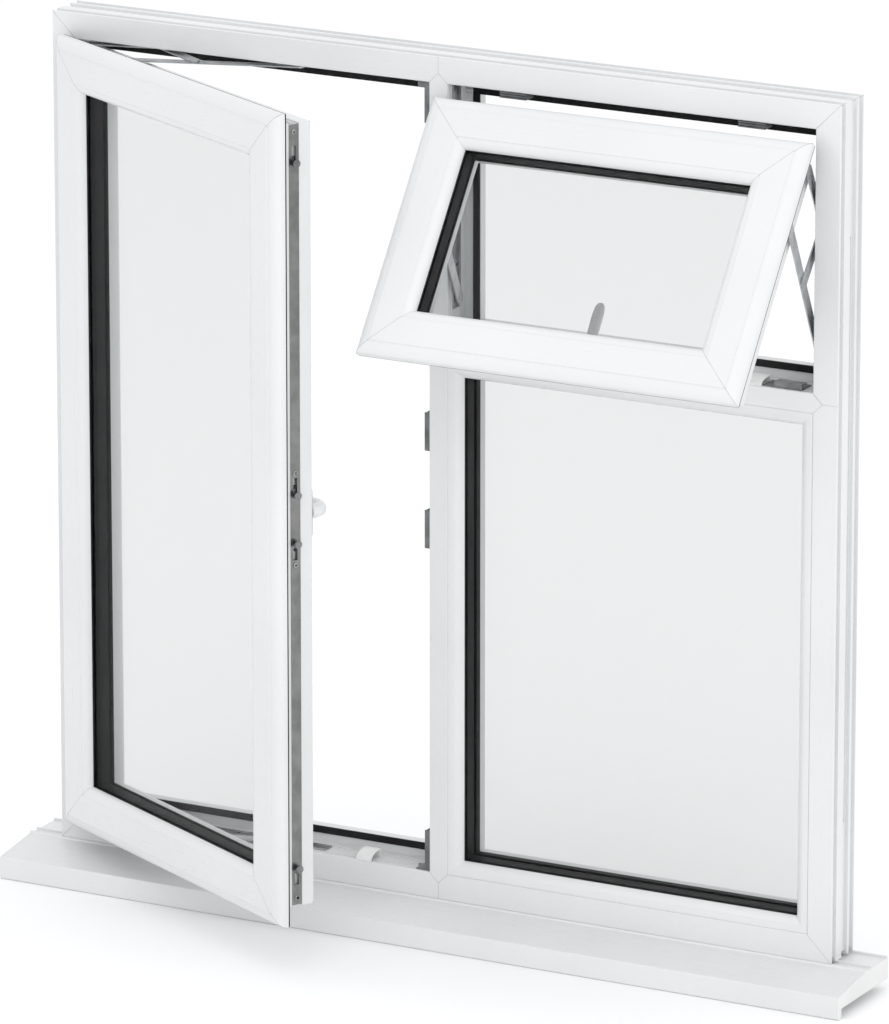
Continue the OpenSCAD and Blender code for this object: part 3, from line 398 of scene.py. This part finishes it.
# How far the edges of the profiles, the small mouldings, the rubber and the metal are rounded
PROFILE_EDGE = 0.45 * MM
MOULDED_EDGE = 0.35 * MM
RUBBER_EDGE = 0.3 * MM
METAL_EDGE = 0.22 * MM
for node in ("head", "bottom_rail", "left_jamb", "right_jamb", "mullion", "transom", "sill",
             "casement_rails", "casement_hinge_stile", "casement_lock_stile", "vent_rails",
             "vent_stiles"):
    dressed(node, PROFILE_EDGE)
for node in ("fixed_beads", "casement_beads", "vent_beads", "sill_end_caps", "run_up_blocks"):
    dressed(node, MOULDED_EDGE)
for node in ("rebate_gaskets", "fixed_gaskets", "casement_flange_gasket", "vent_flange_gasket",
             "casement_glass_gaskets", "vent_glass_gaskets", "fixed_spacer", "casement_spacer",
             "vent_spacer"):
    dressed(node, RUBBER_EDGE)
for node in ("keeps", "corner_keeps", "hinge_protectors", "casement_lock", "vent_lock",
             "casement_upper_rod", "casement_lower_rod", "vent_left_rod", "vent_right_rod",
             "casement_stay_tracks", "vent_stay_tracks", "casement_stay_plates",
             "vent_stay_plates", "casement_long_arms", "casement_short_arms", "casement_links",
             "vent_long_arms", "vent_short_arms", "vent_links", "casement_shoes",
             "vent_shoes"):
    dressed(node, METAL_EDGE)

# ---- Handles ----


def basis(x, y, z, origin):
    """Axes x, y and z at an origin, as a matrix."""
    return Matrix((
        (x.x, y.x, z.x, origin.x), (x.y, y.y, z.y, origin.y), (x.z, y.z, z.z, origin.z),
        (0, 0, 0, 1),
    ))


def frame_at(point, out):
    """Axes at a point with z along out."""
    out = out.normalized()
    side = out.orthogonal().normalized()
    return basis(side, out.cross(side), out, point)


def sash_basis(joint, room):
    """Axes of a sash at its handle: x across, y towards the room, z up the sash."""
    upright = abs(room.z) < 1e-6
    across = room.cross(UP) if upright else ACROSS
    up = UP if upright else across.cross(room)
    return basis(across, room, up, Vector(joints[joint]["pos_m"]))


casement_axes = sash_basis("casement_handle_turn", casement_room)
vent_axes = sash_basis("vent_handle_turn", vent_room)

# The lever's path and its oval sections, in millimetres: distance along the grip, distance out
# of the sash, half width, half thickness
LEVER_PATH = [
    (0, 9.6, 10.2, 10.2), (0, 10.4, 10.4, 10.4), (0, 16, 10.2, 10.2), (0.5, 22, 10, 9.8),
    (3, 28.5, 9.8, 9.2), (9, 33.6, 9.6, 8.4), (18, 35.8, 9.2, 7.4), (30, 36.2, 8.4, 6.6),
    (46, 35.8, 7.9, 6.1), (64, 35.2, 8.0, 5.8), (82, 34.8, 8.5, 5.6), (95, 34.6, 8.3, 5.2),
    (103, 34.4, 6.9, 4.3), (107.2, 34.2, 4.2, 2.6), (108.3, 34.2, 1.6, 1.0),
]
LEVER_SIDES = 20


def oval_ring(shape, centre, wide, thick):
    """One oval ring of the lever at a place on its path. Returns its edges."""
    made = bmesh.ops.create_circle(shape, cap_ends=False, segments=LEVER_SIDES, radius=1.0)
    flat = Vector((0, 0, 0))
    bmesh.ops.transform(shape, matrix=basis(wide, thick, flat, centre), verts=made["verts"])
    return [e for e in shape.edges if all(v in made["verts"] for v in e.verts)]


def lever_mesh(axes, along, across):
    """The lever as a swept oval: up from its boss, over the elbow and out along the grip."""
    shape = bmesh.new()
    rings = []
    for k, (run_along, run_out, half_width, half_thick) in enumerate(LEVER_PATH):
        before = LEVER_PATH[max(k - 1, 0)]
        after = LEVER_PATH[min(k + 1, len(LEVER_PATH) - 1)]
        run = Vector((after[0] - before[0], after[1] - before[1])).normalized()
        thick = (along * -run.y + OUT * run.x).normalized()
        centre = along * run_along + OUT * run_out
        rings.append(oval_ring(shape, centre, across * half_width, thick * half_thick))
    for lower, upper in zip(rings, rings[1:]):
        bmesh.ops.bridge_loops(shape, edges=lower + upper)
    for end in (rings[0], rings[-1]):
        bmesh.ops.contextual_create(shape, geom=end)
    bmesh.ops.transform(shape, matrix=axes @ Matrix.Scale(MM, 4), verts=shape.verts)
    bmesh.ops.recalc_face_normals(shape, faces=shape.faces)
    return shape


def grow(shape, top):
    """Extrudes faces in place. Returns the new vertices and faces."""
    grown = bmesh.ops.extrude_face_region(shape, geom=top)["geom"]
    verts = [g for g in grown if isinstance(g, bmesh.types.BMVert)]
    return verts, [g for g in grown if isinstance(g, bmesh.types.BMFace)]


# The rose in millimetres: the radius of its round ends, how far they stand from the spindle, and
# the layers of its crown as a rise and a step inwards
ROSE_R = 10.5
ROSE_REACH = 27.5
ROSE_LAYERS = [(7.0, 0.0), (1.6, 1.5), (0.4, 1.8)]


def rose_mesh(axes, along, across):
    """The handle's base plate: round-ended and crowned."""
    shape = bmesh.new()
    turn = basis(along, across, OUT, Vector((0, 0, 0)))
    made = bmesh.ops.create_circle(shape, cap_ends=True, segments=48, radius=ROSE_R)
    for v in made["verts"]:
        if abs(v.co.x) > 1e-6:
            v.co.x += math.copysign(ROSE_REACH, v.co.x)
    top = list(shape.faces)
    for rise, step in ROSE_LAYERS:
        verts, top = grow(shape, top)
        bmesh.ops.translate(shape, verts=verts, vec=(0, 0, rise))
        for v in verts:
            reach = ROSE_REACH if abs(v.co.x) > ROSE_REACH - ROSE_R else 0
            centre = Vector((math.copysign(reach, v.co.x), 0, v.co.z))
            v.co -= (v.co - centre).normalized() * step
    bmesh.ops.transform(shape, matrix=axes @ Matrix.Scale(MM, 4) @ turn, verts=shape.verts)
    bmesh.ops.recalc_face_normals(shape, faces=shape.faces)
    return shape


for name, axes, grip, plate in (("casement", casement_axes, -ACROSS, UP),
                                ("vent", vent_axes, UP, ACROSS)):
    lever = add_piece(name + "_lever", lever_mesh(axes, grip, grip.cross(OUT)),
                      name + "_handle", handle_paint)
    round_off = lever.modifiers.new("smooth", "SUBSURF")
    round_off.levels = 2
    round_off.render_levels = 2
    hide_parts(name + "_handle")
    rose = add_piece(name + "_rose", rose_mesh(axes, plate, plate.cross(OUT)), name,
                     handle_paint)
    soften(rose, 0.5 * MM, 3)
    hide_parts(name + "_handle_base")

# ---- Weld seams, drawn as grey beads of painted groove shade ----

SEAM_R = 0.36 * MM
# How deep a seam's middle lies under the skin
SEAM_SINK = 0.22 * MM
SHORTEST_SEAM = 0.05 * MM
SEAM_LAP = SEAM_R * 0.6
# How far inside the window's box a seam is trimmed
TRIM = 0.02 * MM
# The least cosine between a cut end's face and its slant, and between a skin and the way out
ON_SLANT = 0.9998
FACES_OUT = 0.05

# The seam beads' grey is painted shade: the shade of the fine grooves at the welds in the white
# plastic
painted_seam_shade = moulded("seam groove painted shade", (0.42, 0.425, 0.43), (0.48, 0.485, 0.49), (0.5, 0.6), 0.1, 900)


def add_seam(shape, start, stop, lap):
    """A round bead along a line."""
    line = stop - start
    bmesh.ops.create_cone(shape, cap_ends=True, segments=8, radius1=SEAM_R, radius2=SEAM_R,
                          depth=line.length + lap, matrix=frame_at((start + stop) / 2, line))


def keep_inside(shape):
    """Trims what stands past the outer faces of the window."""
    for v in shape.verts:
        for axis in range(3):
            low = cad_bounds[0][axis] + TRIM
            high = cad_bounds[1][axis] - TRIM
            v.co[axis] = min(max(v.co[axis], low), high)


def seam_mesh(node, outward, across, up):
    """Fine grey beads along the outer edges of a profile's mitred and V-jointed ends, which paint
    the shade of the weld grooves.
    """
    profile = merged_copy(node)
    slants = [(across * a + up * b).normalized() for a in (-1, 1) for b in (-1, 1)]
    seams = bmesh.new()
    for e in profile.edges:
        if len(e.link_faces) != 2:
            continue
        cut_end = [max(f.normal.dot(s) for s in slants) > ON_SLANT for f in e.link_faces]
        if cut_end[0] == cut_end[1]:
            continue
        skin = e.link_faces[1] if cut_end[0] else e.link_faces[0]
        if skin.normal.dot(outward) > FACES_OUT and e.calc_length() >= SHORTEST_SEAM:
            sink = skin.normal * SEAM_SINK
            add_seam(seams, e.verts[0].co - sink, e.verts[1].co - sink, SEAM_LAP)
    profile.free()
    keep_inside(seams)
    return seams


vent_up = ACROSS.cross(vent_room)
for node, room, across, up in (
        ("mullion", OUT, ACROSS, UP), ("transom", OUT, ACROSS, UP),
        ("left_jamb", OUT, ACROSS, UP), ("right_jamb", OUT, ACROSS, UP),
        ("casement_rails", casement_room, casement_room.cross(UP), UP),
        ("vent_rails", vent_room, ACROSS, vent_up)):
    for side, way in (("outside", -room), ("room", room)):
        seams = seam_mesh(node, way, across, up)
        if len(seams.faces):
            add_piece(f"{node}_{side}_seams", seams, body_of[node], painted_seam_shade)
        else:
            seams.free()

# The welds of the V joints run on from their points to the outer edges of the frame, as grey beads
# of painted groove shade like the rest
head_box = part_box("head")
jamb_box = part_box("right_jamb")
mullion_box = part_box("mullion")
transom_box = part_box("transom")
mullion_mid = (mullion_box[0].x + mullion_box[1].x) / 2
transom_mid = (transom_box[0].z + transom_box[1].z) / 2
rail_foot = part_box("bottom_rail")[0].z
seams = bmesh.new()
for (x0, z0), (x1, z1) in (
        ((mullion_mid, mullion_box[1].z), (mullion_mid, head_box[1].z)),
        ((mullion_mid, rail_foot), (mullion_mid, mullion_box[0].z)),
        ((transom_box[1].x, transom_mid), (jamb_box[1].x, transom_mid))):
    y = head_box[0].y + SEAM_SINK
    add_seam(seams, Vector((x0, y, z0)), Vector((x1, y, z1)), -MM)
keep_inside(seams)
add_piece("frame_end_seams", seams, "outer_frame", painted_seam_shade)

# ---- Screws ----

# A head's outline: shares of its height, each with how much it narrows there, up to the recess
HEAD_STEPS = ((0.55, 0.97), (0.45, 0.8), (0.0, 0.55))
RECESS_DEPTH = 0.7
# The recess is a cross: full along its arms and narrow between them
ARM = 0.9
ARM_WAIST = 0.62
SCREW_EDGE = 0.12 * MM


def screw_head(shape, place, radius, height, turn):
    """A pan head with a sunk cross recess."""
    start = len(shape.verts)
    made = bmesh.ops.create_circle(shape, cap_ends=True, segments=32, radius=radius)
    top = list({f for v in made["verts"] for f in v.link_faces})
    for share, shrink in HEAD_STEPS:
        verts, top = grow(shape, top)
        for v in verts:
            v.co = Vector((v.co.x * shrink, v.co.y * shrink, v.co.z + height * share))
    verts, top = grow(shape, top)
    for v in verts:
        between = abs(math.sin(2 * math.atan2(v.co.y, v.co.x)))
        reach = ARM - ARM_WAIST * between
        v.co = Vector((v.co.x * reach, v.co.y * reach, v.co.z - height * RECESS_DEPTH))
    shape.verts.ensure_lookup_table()
    fresh = shape.verts[start:]
    spin = Matrix.Rotation(turn, 4, "Z")
    bmesh.ops.transform(shape, matrix=place @ Matrix.Scale(MM, 4) @ spin, verts=fresh)


def add_screws(name, body, screws):
    """One piece of many heads, each given as its place, radius, height and turn."""
    shape = bmesh.new()
    for screw in screws:
        screw_head(shape, *screw)
    bmesh.ops.recalc_face_normals(shape, faces=shape.faces)
    piece = add_piece(name, shape, body, screw_steel)
    soften(piece, SCREW_EDGE, 2, 40)


def on_sash(axes, x, y, z, way):
    """Axes on a sash at a place in millimetres from its handle, with z along a way out."""
    return frame_at(axes @ Vector((x * MM, y * MM, z * MM)), axes.to_3x3() @ way)


# Screws of the lock faceplates, in millimetres from the handles: the faceplate's level and
# middle line, and the places along it
FACE_LEVEL = 22.3
FACE_MIDDLE = -27.0
CASEMENT_FACE_SCREWS = (-534, -64, 64, 534)
VENT_FACE_SCREWS = (-250.5, -64, 64, 250.5)
FACE_SCREW = (3.7, 0.8)
# Screws of the stay tracks, from each track's hinge end, clear of where the shoes slide
CASEMENT_TRACK_SCREWS = (0.022, 0.165, 0.23, 0.295)
VENT_TRACK_SCREWS = (0.03, 0.19, 0.25)
TRACK_SCREW = (3.2, 0.7)
TRACK_FLOOR = 1.2 * MM
KEEP_SCREW = (3.5, 0.6)

add_screws("casement_lock_screws", "casement", [
    (on_sash(casement_axes, FACE_LEVEL, FACE_MIDDLE, z, ACROSS), *FACE_SCREW, z * 0.7)
    for z in CASEMENT_FACE_SCREWS
])
add_screws("vent_lock_screws", "vent", [
    (on_sash(vent_axes, x, FACE_MIDDLE, -FACE_LEVEL, -UP), *FACE_SCREW, x * 0.3)
    for x in VENT_FACE_SCREWS
])

low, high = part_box("casement_stay_tracks")
screws = []
for z, way in ((low.z, UP), (high.z, -UP)):
    for along in CASEMENT_TRACK_SCREWS:
        point = Vector((low.x + along, (low.y + high.y) / 2, z)) + way * TRACK_FLOOR
        screws.append((frame_at(point, way), *TRACK_SCREW, along * 9))
add_screws("casement_track_screws", "outer_frame", screws)

low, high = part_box("vent_stay_tracks")
screws = []
for x, way in ((low.x, ACROSS), (high.x, -ACROSS)):
    for down in VENT_TRACK_SCREWS:
        point = Vector((x, (low.y + high.y) / 2, high.z - down)) + way * TRACK_FLOOR
        screws.append((frame_at(point, way), *TRACK_SCREW, down * 30))
add_screws("vent_track_screws", "outer_frame", screws)


def separate_solids(shape):
    """The vertices of each connected part of a mesh."""
    left_over = set(shape.verts)
    while left_over:
        island = {left_over.pop()}
        edge = set(island)
        while edge:
            edge = {e.other_vert(v) for v in edge for e in v.link_edges} - island
            island |= edge
        left_over -= island
        yield island


# Heads on the screws of the keeps: upright ones face up, level ones face the casement
shanks = merged_copy("frame_screws")
screws = []
for solid in separate_solids(shanks):
    low = Vector([min(v.co[i] for v in solid) for i in range(3)])
    high = Vector([max(v.co[i] for v in solid) for i in range(3)])
    middle = (low + high) / 2
    if high.z - low.z < high.x - low.x:
        place = frame_at(Vector((low.x, middle.y, middle.z)), -ACROSS)
    else:
        place = frame_at(Vector((middle.x, middle.y, high.z)), UP)
    screws.append((place, *KEEP_SCREW, middle.z * 5 + middle.x * 3))
shanks.free()
add_screws("keep_screw_heads", "outer_frame", screws)

# ---- Stage and light ----

FLOOR_SIZE = 60
# The floor lies this far under the window, so that the two never flicker
FLOOR_GAP = 0.4 * MM
FLOOR_WHITE = (0.96, 0.96, 0.96, 1)
SKY_WHITE = (0.985, 0.99, 1, 1)
SKY_STRENGTH = 1.06

floor_shape = bmesh.new()
bmesh.ops.create_grid(floor_shape, x_segments=1, y_segments=1, size=FLOOR_SIZE)
floor_level = cad_bounds[0][2] - FLOOR_GAP
bmesh.ops.translate(floor_shape, verts=floor_shape.verts, vec=(0, 0, floor_level))
floor_mesh = bpy.data.meshes.new("floor")
floor_shape.to_mesh(floor_mesh)
floor_shape.free()
floor = bpy.data.objects.new("floor", floor_mesh)
bpy.context.scene.collection.objects.link(floor)
floor_paint, floor_tree, floor_shader = new_material("pale floor")
floor_shader.inputs["Base Color"].default_value = FLOOR_WHITE
floor_shader.inputs["Roughness"].default_value = 0.9
floor_shader.inputs["Specular IOR Level"].default_value = 0.0
floor_mesh.materials.append(floor_paint)

world = bpy.data.worlds.new("studio")
bpy.context.scene.world = world
world.use_nodes = True
sky = world.node_tree.nodes["Background"]
sky.inputs["Color"].default_value = SKY_WHITE
sky.inputs["Strength"].default_value = SKY_STRENGTH


def soft_box(name, place, aim, size, power):
    """A square lamp at a place, turned to an aim."""
    light = bpy.data.lights.new(name, "AREA")
    light.shape = "SQUARE"
    light.size = size
    light.energy = power
    lamp = bpy.data.objects.new(name, light)
    bpy.context.scene.collection.objects.link(lamp)
    lamp.location = place
    lamp.rotation_euler = (Vector(aim) - Vector(place)).to_track_quat("-Z", "Y").to_euler()


soft_box("key", (4.4, -3.4, 2.2), (0, 0, 0.6), 3.5, 46)
soft_box("top", (0.4, -0.6, 5.5), (0, 0, 0.4), 5, 16)
soft_box("front", (0.4, -2.6, 2.9), (0, 0, 1.4), 1.6, 9)

view = bpy.context.scene.view_settings
view.view_transform = "Standard"
view.look = "None"
